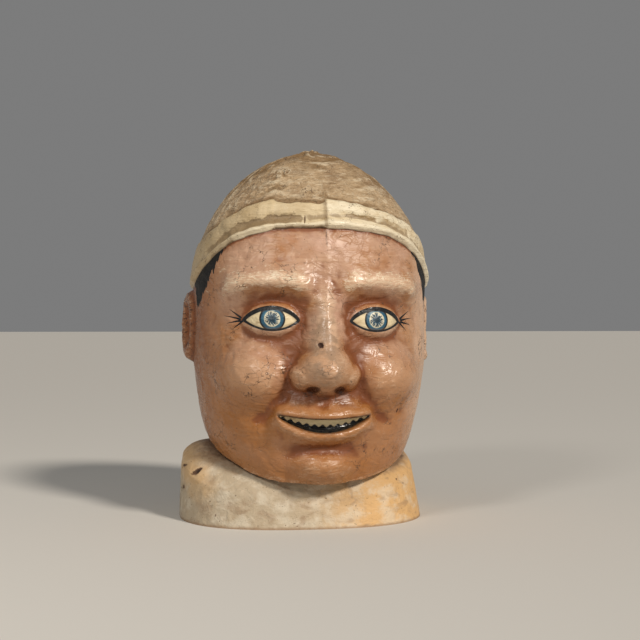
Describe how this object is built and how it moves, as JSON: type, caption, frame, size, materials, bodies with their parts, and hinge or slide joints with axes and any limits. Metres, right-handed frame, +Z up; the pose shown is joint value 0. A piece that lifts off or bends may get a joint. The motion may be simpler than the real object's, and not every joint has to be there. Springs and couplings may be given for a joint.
{
  "type": "papier-mache carnival head mask",
  "caption": "Hollow papier-mache head worn over the wearer's head at carnival, with a moulded skull cap and a flared collar that it stands on.",
  "frame": {"origin": "middle of the box's underside, in the plane of the collar's rim", "axes": "+Z up through the crown, -Y the way the face looks, +X towards the wearer's left"},
  "size_m": [0.2763, 0.3159, 0.391],
  "materials": {
    "paper_shell": "pasted paper, the face in varnished flesh paint, cap and collar matt cream"
  },
  "bodies": {
    "root": {"mask_shell": "paper_shell"}
  },
  "joints": []
}
